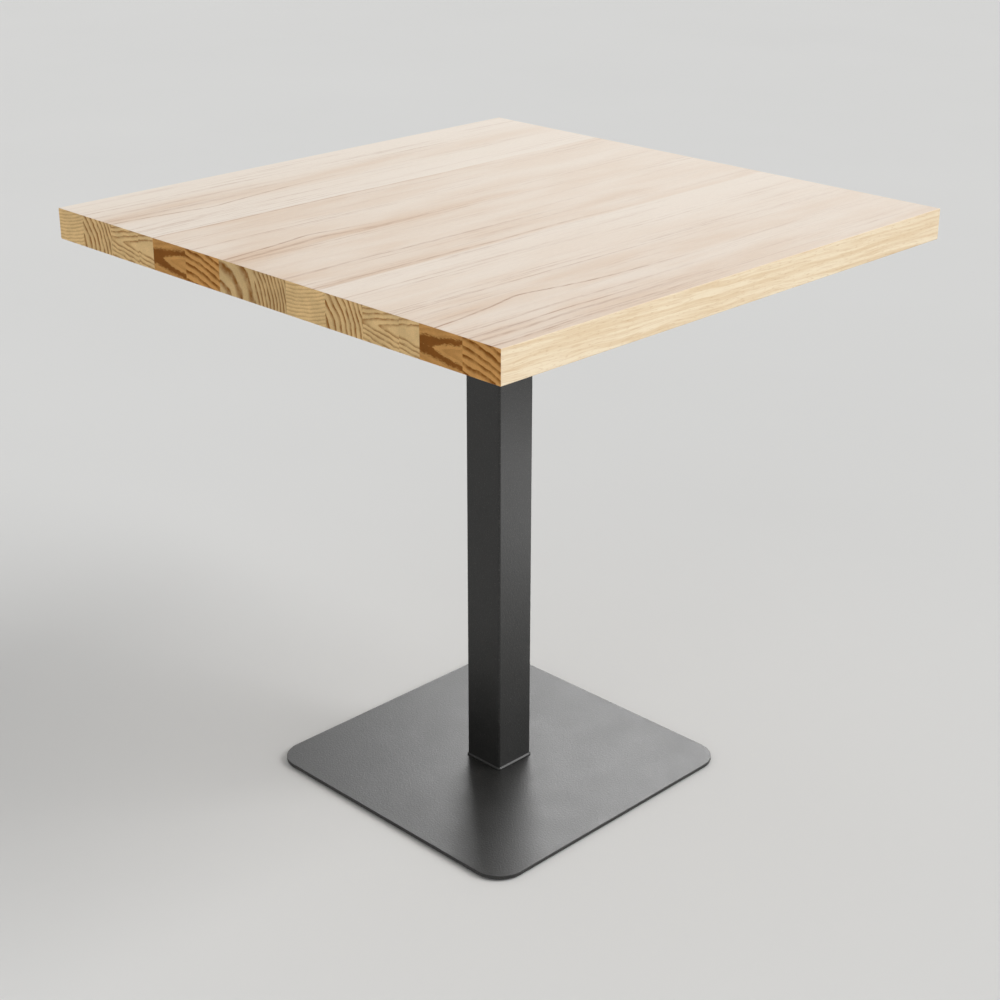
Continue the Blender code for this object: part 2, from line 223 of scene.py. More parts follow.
# Growth lines that stand out on the upper face: where each runs across the grain, how far it
# bows towards +X at BOW_PLACE along the grain, its width, its strength, and how far along the
# grain from the -Y end it reaches, in millimetres. A line fades from LINE_FADE_START of its reach
# on, and LINE_SHARE is how much of the line colour the strongest line shows.
BOW_PLACE = -240
BOW_LENGTH = 95
BOW_ROUNDING = 0.12
LINE_FADE_START = 0.4
LINE_SHARE = 0.8
FIGURE_LINES = (
    dict(place=-270, bow=24, width=2.8, strength=0.7, reach=420),
    dict(place=-276, bow=4, width=6.0, strength=0.4, reach=300),
    dict(place=-300, bow=0, width=5.0, strength=0.3, reach=380),
    dict(place=-181, bow=0, width=2.8, strength=0.6, reach=620),
    dict(place=-110, bow=0, width=2.2, strength=0.5, reach=420),
    dict(place=-46, bow=-25, width=2.6, strength=1.0, reach=250),
    dict(place=-36, bow=-18, width=5.0, strength=0.6, reach=330),
    dict(place=52, bow=-3, width=3.8, strength=0.55, reach=520),
    dict(place=101, bow=-3, width=3.0, strength=0.6, reach=600),
    dict(place=148, bow=0, width=2.6, strength=0.45, reach=420),
    dict(place=228, bow=-3, width=2.2, strength=0.55, reach=600),
    dict(place=292, bow=-30, width=2.6, strength=1.0, reach=460),
    dict(place=317, bow=-5, width=3.4, strength=0.45, reach=460),
    dict(place=333, bow=-3, width=2.2, strength=0.8, reach=330),
    dict(place=345, bow=-2, width=4.2, strength=0.55, reach=420),
    dict(place=364, bow=-2, width=2.6, strength=0.7, reach=260),
)
# How brown the upper face is across the grain: place in millimetres, share of the browner colour
FACE_TONES = (
    (-375, 0.0), (-320, 0.1), (-285, 0.8), (-262, 0.55), (-250, 0.2), (-200, 0.1), (-184, 0.0),
    (-182, 0.8), (-150, 0.65), (-110, 0.5), (-66, 0.65), (-40, 1.0), (-20, 0.7), (20, 0.55), (56, 0.9),
    (85, 0.65), (105, 0.8), (108, 0.15), (145, 0.3), (190, 0.45), (235, 0.65), (275, 1.0), (288, 0.75),
    (292, 0.5), (320, 0.75), (375, 1.0),
)
# How many millimetres the grain wanders across the upper face and up the sides, how steeply it
# climbs along a side, and how strong the upper face's figure still is at the +Y end, where the figure
# is faded as painted sheen: a paler far end that stands in for the gloss of the light from behind
FACE_WAVE_HEIGHT = 6.0
SIDE_WAVE_HEIGHT = 10.0
SIDE_SLOPE = 0.03
PAINTED_SHEEN_FAR_END_STRENGTH = 0.45
# How much of a normal must point along an axis for the pattern of that axis to start and to be full
ARRIS_BLEND = (0.45, 0.75)

# Sizes of the features in the patterns, in millimetres along X, Y and Z
END_WANDER = (17, 400, 17)
END_UNEVEN = (8, 300, 8)
END_BLOTCH = (20, 500, 20)
END_PORES = (0.6, 30, 0.6)
BAND_RAGGED = (5, 100, 1.6)
FACE_WAVE = (60, 130, 60)
FACE_PATCHES = (30, 160, 200)
FACE_BREAKS = (2.4, 22, 40)
FACE_PORES = (0.5, 9, 9)
SIDE_WAVE = (200, 110, 22)
SHEEN_PATCHES = (3, 60, 3)
COAT_PEEL = (2.4, 2.4, 2.4)
COAT_SPECKS = (1.5, 1.5, 1.5)
COAT_CLOUDS = (45, 45, 45)
STEEL_CUTS = (0.25, 14, 0.25)
STEEL_CLOUDS = (8, 8, 8)
ZINC_MOTTLE = (1.2, 1.2, 1.2)
NYLON_GRAIN = (0.35, 0.35, 0.35)
FLOOR_CLOUDS = (900, 900, 900)
# The same across and along the grain
FACE_STREAKS = (3.6, 210)
FACE_CLUSTERS = (26, 380)
SIDE_LINES = (1.5, 42)
SIDE_BANDS = (5, 190)
SIDE_DASHES = (1.1, 9)


# --- Shader nodes -------------------------------------------------------------------------------


class Graph:
    """A material under construction: each method adds a node and returns its output."""

    def __init__(self, name):
        self.material = bpy.data.materials.new(name)
        self.material.use_nodes = True
        self.tree = self.material.node_tree
        self.shader = self.tree.nodes["Principled BSDF"]
        self.place = self.add("TexCoord")

    def add(self, kind, **settings):
        node = self.tree.nodes.new("ShaderNode" + kind)
        for name, value in settings.items():
            setattr(node, name, value)
        return node

    def feed(self, socket, value):
        if isinstance(value, bpy.types.NodeSocket):
            self.tree.links.new(value, socket)
        else:
            socket.default_value = value

    def math(self, operation, *values, clamp=False):
        node = self.add("Math", operation=operation, use_clamp=clamp)
        for socket, value in zip(node.inputs, values):
            self.feed(socket, value)
        return node.outputs[0]

    def split(self, vector):
        node = self.add("SeparateXYZ")
        self.feed(node.inputs[0], vector)
        return node.outputs[0], node.outputs[1], node.outputs[2]

    def join(self, x, y, z):
        node = self.add("CombineXYZ")
        for socket, value in zip(node.inputs, (x, y, z)):
            self.feed(socket, value)
        return node.outputs[0]

    def position_mm(self):
        node = self.add("VectorMath", operation="SCALE")
        self.feed(node.inputs[0], self.place.outputs["Object"])
        self.feed(node.inputs["Scale"], 1 / MM)
        return node.outputs[0]

    def stretched(self, vector, sizes):
        """The vector divided by a feature size along each axis."""
        node = self.add("VectorMath", operation="DIVIDE")
        self.feed(node.inputs[0], vector)
        self.feed(node.inputs[1], sizes)
        return node.outputs[0]

    def fibres(self, across, along, sizes, layer):
        """A place for noise whose features are long along the grain; each layer looks different."""
        across_size, along_size = sizes
        return self.join(
            self.math("DIVIDE", across, across_size), self.math("DIVIDE", along, along_size), layer
        )

    def noise(self, vector, detail=2.0, roughness=0.5, distortion=0.0, output=0):
        node = self.add("TexNoise")
        self.feed(node.inputs["Vector"], vector)
        self.feed(node.inputs["Scale"], 1.0)
        self.feed(node.inputs["Detail"], detail)
        self.feed(node.inputs["Roughness"], roughness)
        self.feed(node.inputs["Distortion"], distortion)
        return node.outputs[output]

    def range(self, value, low, high, to_low=0.0, to_high=1.0, smooth=True):
        node = self.add("MapRange", interpolation_type="SMOOTHSTEP" if smooth else "LINEAR")
        for socket, number in zip(node.inputs, (value, low, high, to_low, to_high)):
            self.feed(socket, number)
        return node.outputs[0]

    def curve(self, value, points):
        """A value shaped by straight runs between (place, level) points that rise from 0 to 1."""
        node = self.add("ValToRGB")
        ramp = node.color_ramp
        while len(ramp.elements) < len(points):
            ramp.elements.new(1.0)
        for element, (place, level) in zip(ramp.elements, points):
            element.position = place
            element.color = (level, level, level, 1)
        self.feed(node.inputs[0], value)
        return node.outputs[0]

    def mix(self, share, a, b):
        node = self.add("Mix", data_type="RGBA")
        for name, value in ((0, share), (6, a), (7, b)):
            self.feed(node.inputs[name], value)
        return node.outputs[2]

    def shade(self, color, factor):
        """The colour times a grey factor."""
        node = self.add("VectorMath", operation="SCALE")
        self.feed(node.inputs[0], color)
        self.feed(node.inputs["Scale"], factor)
        return node.outputs[0]

    def bump(self, height, distance, strength=1.0):
        node = self.add("Bump")
        self.feed(node.inputs["Strength"], strength)
        self.feed(node.inputs["Distance"], distance)
        self.feed(node.inputs["Height"], height)
        self.feed(self.shader.inputs["Normal"], node.outputs[0])

    def finish(self, **sockets):
        for name, value in sockets.items():
            self.feed(self.shader.inputs[name.replace("_", " ")], value)
        return self.material


# --- Wood ---------------------------------------------------------------------------------------


def ring_phase(g, figure, across, up):
    """A number that grows by one from ring to ring; across and up start at the figure's own place."""
    if figure["kind"] == "round":
        squares = g.math("ADD", g.math("MULTIPLY", across, across), g.math("MULTIPLY", up, up))
        distance = g.math("DIVIDE", g.math("SQRT", squares), figure["reach"])
        return g.math("POWER", distance, figure["power"])
    arm = g.math("SQRT", g.math("ADD", g.math("MULTIPLY", up, up), ARROW_TIP**2))
    phase = g.math("DIVIDE", g.math("MULTIPLY_ADD", across, -ARROW_SLOPE, arm), figure["reach"])
    return g.math("MAXIMUM", phase, ARROW_HEART)


def tongue_band(g, across, up, ragged):
    """The broad dark band round the light tongue, from 0 to 1."""
    away = g.math("ADD", g.math("ABSOLUTE", up), ragged)
    inner = g.math("SQRT", g.math("MAXIMUM", across, 0.0))
    inner = g.math("MULTIPLY_ADD", inner, TONGUE_SPREAD, -TONGUE_SETBACK)
    outer = g.math("MULTIPLY_ADD", across, BAND_SLOPE, BAND_THICKNESS)
    outside_tongue = g.range(g.math("SUBTRACT", away, inner), -0.8, 1.6)
    inside_band = g.range(g.math("SUBTRACT", outer, away), -0.5, 3.5, 0.0, BAND_DARKNESS)
    return g.math("MULTIPLY", outside_tongue, inside_band)


def end_grain(g, figure, look, colors, middle_x, position):
    """Colour and height of the end grain of one stave."""
    x, _, z = g.split(position)
    wander_u, wander_v, _ = g.split(g.noise(g.stretched(position, END_WANDER), detail=4, output=1))
    across = g.math("SUBTRACT", x, middle_x + figure["place"][0])
    up = g.math("SUBTRACT", z, TOP_MIDDLE / MM + figure["place"][1])
    across = g.math("MULTIPLY_ADD", g.math("SUBTRACT", wander_u, 0.5), 2 * look["warp"], across)
    up = g.math("MULTIPLY_ADD", g.math("SUBTRACT", wander_v, 0.5), 2 * look["warp"], up)
    ring = g.math("FRACT", ring_phase(g, figure, across, up))
    start = 1 - look["late"]
    shape = ((0.0, 0.5), (0.05, 0.0), (start * 0.7, 0.06), (start + 0.1, 0.75), (0.93, 1.0), (1.0, 0.5))
    latewood = g.curve(ring, shape)
    uneven = g.range(g.noise(g.stretched(position, END_UNEVEN), detail=3), 0.3, 0.6, 0.55, 1.0)
    dark = g.math("MULTIPLY", g.math("MULTIPLY", latewood, uneven), look["line"])
    if figure["kind"] == "tongue":
        ragged = g.noise(g.stretched(position, BAND_RAGGED), detail=3, roughness=0.7)
        ragged = g.math("MULTIPLY_ADD", ragged, BAND_FRAY, -BAND_FRAY / 2)
        dark = g.math("MAXIMUM", dark, tongue_band(g, across, up, ragged))
    color = g.mix(dark, *colors)
    blotch = g.range(g.noise(g.stretched(position, END_BLOTCH), detail=2), 0.25, 0.75, 0.9, 1.06)
    pores = g.range(g.noise(g.stretched(position, END_PORES), detail=2), 0.3, 0.7, 0.9, 1.06)
    color = g.shade(color, g.math("MULTIPLY", g.math("MULTIPLY", blotch, pores), look["tone"]))
    return color, g.math("SUBTRACT", pores, g.math("MULTIPLY", dark, 0.3))


def figure_line(g, line, x, y, bow):
    """How strongly one growth line of the upper face shows."""
    middle = g.math("MULTIPLY_ADD", bow, line["bow"], line["place"])
    off = g.math("ABSOLUTE", g.math("SUBTRACT", x, middle))
    core = g.range(off, line["width"], 0.0, 0.0, line["strength"])
    near_end = -TOP_SIDE / 2 / MM
    fade = g.range(y, near_end + line["reach"], near_end + line["reach"] * LINE_FADE_START)
    return g.math("MULTIPLY", core, fade)


def face_grain(g, position):
    """Colour and height of the broad upper and lower faces: pale, with streaks and a few bowed lines."""
    x, y, _ = g.split(position)
    wave = g.noise(g.stretched(position, FACE_WAVE), detail=2)
    x = g.math("MULTIPLY_ADD", g.math("SUBTRACT", wave, 0.5), FACE_WAVE_HEIGHT, x)
    along = g.math("DIVIDE", g.math("SUBTRACT", y, BOW_PLACE), BOW_LENGTH)
    away = g.math("SQRT", g.math("MULTIPLY_ADD", along, along, BOW_ROUNDING**2))
    bow = g.math("EXPONENT", g.math("MULTIPLY", away, -1.0))
    half = TOP_SIDE / 2 / MM
    share = g.range(x, -half, half, smooth=False)
    tone = g.curve(share, [((place + half) / (2 * half), level) for place, level in FACE_TONES])
    patches = g.range(g.noise(g.stretched(position, FACE_PATCHES), detail=2), 0.3, 0.7, 0.5, 1.15)
    # Painted sheen: tone and streaks fade towards the +Y end, so that end is paler as if washed out by
    # the glossy light from behind
    fade = g.range(y, half, -half, PAINTED_SHEEN_FAR_END_STRENGTH, 1.0, smooth=False)
    tone = g.math("MULTIPLY", g.math("MULTIPLY", tone, patches), fade)
    streaks = g.range(g.noise(g.fibres(x, y, FACE_STREAKS, 0), detail=4, roughness=0.6), 0.47, 0.64)
    clusters = g.noise(g.fibres(x, y, FACE_CLUSTERS, 4), detail=2)
    streaks = g.math("MULTIPLY", streaks, g.range(clusters, 0.42, 0.62, 0.0, 0.5))
    streaks = g.math("MULTIPLY", streaks, fade)
    lines = streaks
    for line in FIGURE_LINES:
        lines = g.math("MAXIMUM", lines, figure_line(g, line, x, y, bow))
    broken = g.range(g.noise(g.stretched(position, FACE_BREAKS), detail=3), 0.36, 0.6, 0.35, 1.0)
    lines = g.math("MULTIPLY", lines, broken)
    color = g.mix(tone, srgb(243, 232, 219), srgb(228, 204, 181))
    color = g.mix(g.math("MULTIPLY", lines, LINE_SHARE), color, srgb(168, 124, 94))
    pores = g.range(g.noise(g.stretched(position, FACE_PORES), detail=1), 0.35, 0.65, 0.965, 1.015)
    return g.shade(color, pores), g.math("SUBTRACT", pores, g.math("MULTIPLY", lines, 0.4))


def side_grain(g, position):
    """Colour and height of the long side faces: yellowish, with fine wavy lines along the grain."""
    _, y, z = g.split(position)
    wave = g.noise(g.stretched(position, SIDE_WAVE), detail=3)
    height = g.math("MULTIPLY_ADD", g.math("SUBTRACT", wave, 0.5), SIDE_WAVE_HEIGHT, z)
    height = g.math("MULTIPLY_ADD", y, SIDE_SLOPE, height)
    fine = g.noise(g.fibres(height, y, SIDE_LINES, 3), detail=4, roughness=0.6)
    broad = g.noise(g.fibres(height, y, SIDE_BANDS, 8), detail=3)
    dashes = g.noise(g.fibres(height, y, SIDE_DASHES, 5), detail=2)
    color = g.mix(g.range(broad, 0.36, 0.66), srgb(242, 226, 198), srgb(229, 206, 172))
    color = g.mix(g.math("MULTIPLY", g.range(fine, 0.5, 0.68), 0.32), color, srgb(200, 160, 112))
    color = g.mix(g.math("MULTIPLY", g.range(dashes, 0.58, 0.74), 0.45), color, srgb(198, 160, 116))
    return color, g.math("SUBTRACT", fine, dashes)


def stave_material(number, figure_name, middle_x):
    g = Graph(f"stave_{number:02d}_wood")
    position = g.position_mm()
    normal_x, normal_y, _ = g.split(g.place.outputs["Normal"])
    is_end = g.range(g.math("ABSOLUTE", normal_y), *ARRIS_BLEND)
    is_side = g.range(g.math("ABSOLUTE", normal_x), *ARRIS_BLEND)
    colors = DARK_END if figure_name.startswith("dark") else LIGHT_END
    end_color, end_height = end_grain(
        g, FIGURES[figure_name], FIGURE_LOOKS[figure_name], colors, middle_x, position
    )
    face_color, face_height = face_grain(g, position)
    side_color, side_height = side_grain(g, position)
    color = g.mix(is_end, g.mix(is_side, face_color, side_color), end_color)
    height = g.mix(is_end, g.mix(is_side, face_height, side_height), end_height)
    sheen = g.range(g.noise(g.stretched(position, SHEEN_PATCHES), detail=2), 0.3, 0.7, 0.64, 0.72)
    g.bump(height, 0.06 * MM, 0.5)
    return g.finish(Base_Color=color, Roughness=sheen, Specular_IOR_Level=0.05)


# --- Metal and plastic --------------------------------------------------------------------------


def powder_coat_material():
    """Dark grey semi-gloss powder coat with a fine orange-peel texture."""
    g = Graph("powder_coat")
    position = g.position_mm()
    peel = g.noise(g.stretched(position, COAT_PEEL), detail=2, roughness=0.6)
    speck = g.noise(g.stretched(position, COAT_SPECKS), detail=2)
    cloud = g.noise(g.stretched(position, COAT_CLOUDS), detail=3)
    color = g.mix(g.range(cloud, 0.3, 0.7), srgb(31, 31, 30), srgb(36, 36, 35))
    color = g.mix(g.range(speck, 0.58, 0.72, 0.0, 0.4), color, srgb(104, 104, 101))
    gloss = g.math("ADD", g.range(speck, 0.3, 0.7, -0.06, 0.06), g.range(cloud, 0.3, 0.7, 0.4, 0.43))
    g.bump(peel, 0.28 * MM, 0.8)
    return g.finish(Base_Color=color, Roughness=gloss, Specular_IOR_Level=0.5)


def bare_steel_material():
    """Sawn and faced mild steel."""
    g = Graph("bare_steel")
    position = g.position_mm()
    cuts = g.noise(g.stretched(position, STEEL_CUTS), detail=3)
    cloud = g.noise(g.stretched(position, STEEL_CLOUDS), detail=3)
    color = g.mix(cloud, srgb(150, 150, 150), srgb(184, 182, 178))
    gloss = g.range(cuts, 0.3, 0.7, 0.28, 0.5)
    g.bump(cuts, 0.02 * MM, 0.5)
    return g.finish(Base_Color=color, Roughness=gloss, Metallic=1.0)


def zinc_material():
    """Bright zinc plate with a faint mottle."""
    g = Graph("zinc")
    position = g.position_mm()
    mottle = g.noise(g.stretched(position, ZINC_MOTTLE), detail=3)
    color = g.mix(mottle, srgb(186, 190, 196), srgb(214, 214, 208))
    gloss = g.range(mottle, 0.3, 0.7, 0.2, 0.36)
    g.bump(mottle, 0.01 * MM, 0.4)
    return g.finish(Base_Color=color, Roughness=gloss, Metallic=1.0)


def nylon_material():
    """Black moulded nylon with a fine spark-eroded texture."""
    g = Graph("nylon")
    position = g.position_mm()
    grain = g.noise(g.stretched(position, NYLON_GRAIN), detail=2)
    color = g.mix(grain, srgb(30, 30, 31), srgb(44, 44, 45))
    gloss = g.range(grain, 0.3, 0.7, 0.45, 0.6)
    g.bump(grain, 0.03 * MM, 0.5)
    return g.finish(Base_Color=color, Roughness=gloss)


def floor_material():
    g = Graph("floor_paint")
    position = g.position_mm()
    cloud = g.noise(g.stretched(position, FLOOR_CLOUDS), detail=3)
    color = g.mix(cloud, (0.74, 0.74, 0.73, 1), (0.77, 0.77, 0.76, 1))
    return g.finish(Base_Color=color, Roughness=0.9, Specular_IOR_Level=0.0)


# --- Mesh tools ---------------------------------------------------------------------------------


def piece_from(bm, name, material, body, slot, *nodes):
    """A finished piece that rides on a body and stands for CAD nodes. It uses up the bmesh."""
    bmesh.ops.recalc_face_normals(bm, faces=bm.faces[:])
    mesh = bpy.data.meshes.new(name)
    bm.to_mesh(mesh)
    bm.free()
    mesh.shade_smooth()
    mesh.set_sharp_from_angle(angle=SMOOTH_ANGLE)
    mesh.materials.append(material)
    piece = bpy.data.objects.new(name, mesh)
    bpy.context.scene.collection.objects.link(piece)
    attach(piece, body)
    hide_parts(*nodes)
    pieces.append(piece)
    return piece


def keep_flats_flat():
    """Weighs each piece's normals by area, so that flat faces shade flat beside their round edges."""
    for piece in pieces:
        piece.modifiers.new("weighted_normals", "WEIGHTED_NORMAL").keep_sharp = True


def cut(piece, holes):
    """Cuts the piece's mesh with the closed bodies in the bmesh holes."""
    mesh = bpy.data.meshes.new("holes")
    bmesh.ops.recalc_face_normals(holes, faces=holes.faces[:])
    holes.to_mesh(mesh)
    holes.free()
    cutter = bpy.data.objects.new("holes", mesh)
    bpy.context.scene.collection.objects.link(cutter)
    boolean = piece.modifiers.new("holes", "BOOLEAN")
    boolean.object = cutter
    graph = bpy.context.evaluated_depsgraph_get()
    cut_mesh = bpy.data.meshes.new_from_object(piece.evaluated_get(graph))
    piece.modifiers.clear()
    piece.data = cut_mesh
    cut_mesh.set_sharp_from_angle(angle=SMOOTH_ANGLE)
    bpy.data.objects.remove(cutter)


def ring(bm, outline, height):
    return [bm.verts.new((x, y, height)) for x, y in outline]


def band(bm, lower, upper):
    """Faces between two rings of vertices; a ring of one vertex is a point on the axis."""
    count = max(len(lower), len(upper))
    for i in range(count):
        j = (i + 1) % count
        low_corners = [lower[i % len(lower)], lower[j % len(lower)]]
        high_corners = [upper[j % len(upper)], upper[i % len(upper)]]
        bm.faces.new(list(dict.fromkeys(low_corners + high_corners)))


def prism(bm, outline, z_low, z_high):
    low, high = ring(bm, outline, z_low), ring(bm, outline, z_high)
    bm.faces.new(list(reversed(low)))
    bm.faces.new(high)
    band(bm, low, high)


def rounded_square(side, radius, segments):
    """The outline of a square with round corners, anticlockwise."""
    inset = side / 2 - radius
    points = []
    for quarter, (sign_x, sign_y) in enumerate(((1, 1), (-1, 1), (-1, -1), (1, -1))):
        for step in range(segments + 1):
            angle = (quarter + step / segments) * math.pi / 2
            x = sign_x * inset + radius * math.cos(angle)
            y = sign_y * inset + radius * math.sin(angle)
            points.append((x, y))
    return points


def turned(bm, profile, center, segments=TURNED_SEGMENTS):
    """A body turned about Z at center. Its profile runs from the axis at the bottom, out, up and
    back to the axis, as (radius, height) or, for a ring with flat sides, (inradius, height, sides)."""
    rings = []
    for radius, height, *sides in profile:
        outline = [(center.x, center.y)]
        if radius > 0:
            angles = [i / segments * math.tau for i in range(segments)]
            outline = [ring_point(center, radius, angle, *sides) for angle in angles]
        rings.append(ring(bm, outline, height))
    for lower, upper in zip(rings, rings[1:]):
        band(bm, lower, upper)


def cylinder(bm, radius, z_low, z_high, center):
    turned(bm, [(0, z_low), (radius, z_low), (radius, z_high), (0, z_high)], center)


def ring_point(center, radius, angle, sides=0):
    if sides:
        sector = math.tau / sides
        radius /= math.cos(angle % sector - sector / 2)
    return center.x + radius * math.cos(angle), center.y + radius * math.sin(angle)


def countersink(bm, center, z_face, z_far):
    """A clearance hole for an M8 screw through a plate, with its cone at the face z_face."""
    outwards = 1 if z_face > z_far else -1
    cone_top = z_face - outwards * M8_RIM
    profile = [
        (0, z_far - outwards * OVERSHOOT),
        (M8_BORE_RADIUS, z_far - outwards * OVERSHOOT),
        (M8_BORE_RADIUS, cone_top - outwards * (M8_MOUTH_RADIUS - M8_BORE_RADIUS)),
        (M8_MOUTH_RADIUS, cone_top),
        (M8_MOUTH_RADIUS, z_face + outwards * OVERSHOOT),
        (0, z_face + outwards * OVERSHOOT),
    ]
    turned(bm, profile, center)


def slot_outline(center):
    """The outline of a slot along X, anticlockwise."""
    points = []
    for sign in (1, -1):
        for step in range(SMALL_CORNER_SEGMENTS + 1):
            angle = step / SMALL_CORNER_SEGMENTS * math.pi - sign * math.pi / 2
            x = center.x + sign * (SLOT_LENGTH - SLOT_WIDTH) / 2 + SLOT_WIDTH / 2 * math.cos(angle)
            points.append((x, center.y + SLOT_WIDTH / 2 * math.sin(angle)))
    return points


# --- Wooden top ---------------------------------------------------------------------------------


def make_stave(number, x_low, x_high):
    """One stave, closed up to its neighbours, with the outer arrises of the top eased."""
    first, last = number == 1, number == len(STAVES)
    half = TOP_SIDE / 2
    bm = bmesh.new()
    prism(bm, [(x_low, -half), (x_high, -half), (x_high, half), (x_low, half)], TOP_BOTTOM, CAD_HIGH.z)
    bm.normal_update()

    def is_outside(face):
        outer_side = (first and face.normal.x < -FACING) or (last and face.normal.x > FACING)
        return abs(face.normal.z) > FACING or abs(face.normal.y) > FACING or outer_side

    arrises = [edge for edge in bm.edges if all(is_outside(face) for face in edge.link_faces)]
    bmesh.ops.bevel(
        bm, geom=arrises, offset=ARRIS_RADIUS, segments=ARRIS_SEGMENTS, profile=0.5, affect="EDGES"
    )
    figure_name = STAVE_FIGURES[number - 1]
    material = stave_material(number, figure_name, (x_low + x_high) / 2 / MM)
    slot = "dark_wood" if figure_name.startswith("dark") else "light_wood"
    return piece_from(bm, f"stave_{number:02d}", material, "table", slot, STAVES[number - 1])


def make_top():
    boxes = [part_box(name) for name in STAVES]
    joints = [(left[1].x + right[0].x) / 2 for left, right in zip(boxes, boxes[1:])]
    edges = [CAD_LOW.x, *joints, CAD_HIGH.x]
    for number, (x_low, x_high) in enumerate(zip(edges, edges[1:]), 1):
        make_stave(number, x_low, x_high)


# --- Steel pedestal -----------------------------------------------------------------------------


def steel_piece(bm, name, look, *nodes):
    return piece_from(bm, name, look, "table", "powder_coat", *nodes)


def round_edged_plate(side, corner_radius, z_low, z_high, edge_radius):
    """A square plate with round corners, its upper and lower edges rounded."""
    bm = bmesh.new()
    prism(bm, rounded_square(side, corner_radius, CORNER_SEGMENTS), z_low, z_high)
    bm.normal_update()
    rims = [edge for edge in bm.edges if abs(edge.verts[0].co.z - edge.verts[1].co.z) < edge_radius]
    bmesh.ops.bevel(
        bm, geom=rims, offset=edge_radius, segments=PLATE_EDGE_SEGMENTS, profile=0.5, affect="EDGES"
    )
    return bm


def width(node):
    low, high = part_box(node)
    return high.x - low.x


def middle(node):
    low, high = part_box(node)
    return (low + high) / 2


def make_base_plate(look):
    low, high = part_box("base_plate")
    bm = round_edged_plate(width("base_plate"), BASE_CORNER_RADIUS, low.z, high.z, PLATE_EDGE_RADIUS)
    plate = steel_piece(bm, "pedestal_base_plate", look, "base_plate")
    holes = bmesh.new()
    for number in CORNERS:
        countersink(holes, middle(f"base_screw_{number}"), low.z, high.z)
        spot = middle(f"glide_{number}_stud")
        cylinder(holes, GLIDE_HOLE_RADIUS, -OVERSHOOT, low.z + GLIDE_HOLE_DEPTH, spot)
    cut(plate, holes)


def make_mounting_plate(look):
    low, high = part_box("mounting_plate")
    bm = round_edged_plate(
        width("mounting_plate"), MOUNTING_PLATE_CORNER_RADIUS, low.z, high.z, PLATE_EDGE_RADIUS
    )
    plate = steel_piece(bm, "top_mounting_plate", look, "mounting_plate")
    holes = bmesh.new()
    for number in CORNERS:
        countersink(holes, middle(f"column_top_screw_{number}"), high.z, low.z)
    for number in TOP_SCREWS:
        outline = slot_outline(middle(f"tabletop_screw_{number}"))
        prism(holes, outline, low.z - OVERSHOOT, high.z + OVERSHOOT)
    cut(plate, holes)


def make_column(look):
    low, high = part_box("column_tube")
    side = width("column_tube")
    outer = rounded_square(side, COLUMN_CORNER_RADIUS, SMALL_CORNER_SEGMENTS)
    inner = rounded_square(side - 2 * COLUMN_WALL, COLUMN_INNER_RADIUS, SMALL_CORNER_SEGMENTS)
    bm = bmesh.new()
    section = ((outer, low.z), (outer, high.z), (inner, high.z), (inner, low.z))
    rings = [ring(bm, outline, height) for outline, height in section]
    for lower, upper in zip(rings, rings[1:] + rings[:1]):
        band(bm, lower, upper)
    steel_piece(bm, "square_column", look, "column_tube")


def make_foot_collar(look):
    """The plate under the column, whose rim slopes up to the column as a weld fillet does."""
    low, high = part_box("column_foot_plate")
    side = width("column_foot_plate")
    column_side = width("column_tube")
    bm = bmesh.new()
    rings = []
    fillet = ((side, low.z), (side, low.z + COLLAR_RIM), (column_side - COLLAR_RIM, high.z + COLLAR_RIM))
    for square, z in fillet:
        radius = COLUMN_CORNER_RADIUS + (square - column_side) / 2
        rings.append(ring(bm, rounded_square(square, radius, SMALL_CORNER_SEGMENTS), z))
    bm.faces.new(list(reversed(rings[0])))
    bm.faces.new(rings[-1])
    for lower, upper in zip(rings, rings[1:]):
        band(bm, lower, upper)
    collar = steel_piece(bm, "foot_collar", look, "column_foot_plate")
    holes = bmesh.new()
    for number in CORNERS:
        spot = middle(f"base_screw_{number}")
        cylinder(holes, M8_BORE_RADIUS, low.z - OVERSHOOT, high.z + OVERSHOOT, spot)
    cut(collar, holes)


# --- Fasteners and glides -----------------------------------------------------------------------


def thread(radius, depth, pitch, start, end):
    """Profile points of a thread's ridges, as (radius, distance) from start to end."""
    points = []
    for turn in range(int((end - start) / pitch)):
        foot = start + turn * pitch
        points += [(radius - depth, foot), (radius, foot + pitch / 2)]
    return points


def turned_piece(name, profile, face, inwards, node, body, look, slot):
    """A piece turned about its node's axis. The profile's heights are distances from the height
    face, upwards where inwards is 1 and downwards where it is -1."""
    bm = bmesh.new()
    placed = [(radius, face + inwards * distance, *sides) for radius, distance, *sides in profile]
    turned(bm, placed, middle(node))
    return piece_from(bm, name, look, body, slot, node)


def machine_screw_profile(length, head_radius):
    """A countersunk M8 screw with a hexagon socket, from the head's face."""
    cone_end = M8_HEAD_RIM + head_radius - M8_RADIUS
    return [
        (0, M8_SOCKET_DEPTH + SOCKET_CONE),
        (M8_SOCKET_INRADIUS, M8_SOCKET_DEPTH, HEXAGON),
        (M8_SOCKET_INRADIUS, SCREW_EDGE, HEXAGON),
        (M8_SOCKET_INRADIUS + SCREW_EDGE, 0, HEXAGON),
        (head_radius - SCREW_EDGE, 0),
        (head_radius, SCREW_EDGE),
        (head_radius, M8_HEAD_RIM),
        (M8_RADIUS, cone_end),
        *thread(M8_RADIUS, M8_THREAD_DEPTH, M8_PITCH, cone_end + M8_PITCH, length - M8_THREAD_DEPTH),
        (M8_RADIUS - M8_THREAD_DEPTH, length),
        (0, length),
    ]


def make_machine_screws(look):
    nodes = [name for name in frame["nodes"] if re.fullmatch("(base|column_top)_screw_.", name)]
    for node in sorted(nodes):
        low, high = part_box(node)
        profile = machine_screw_profile(high.z - low.z, width(node) / 2)
        name = node.replace("screw", "bolt")
        head_face, inwards = (low.z, 1) if node.startswith("base") else (high.z, -1)
        turned_piece(name, profile, head_face, inwards, node, "table", look, "zinc")


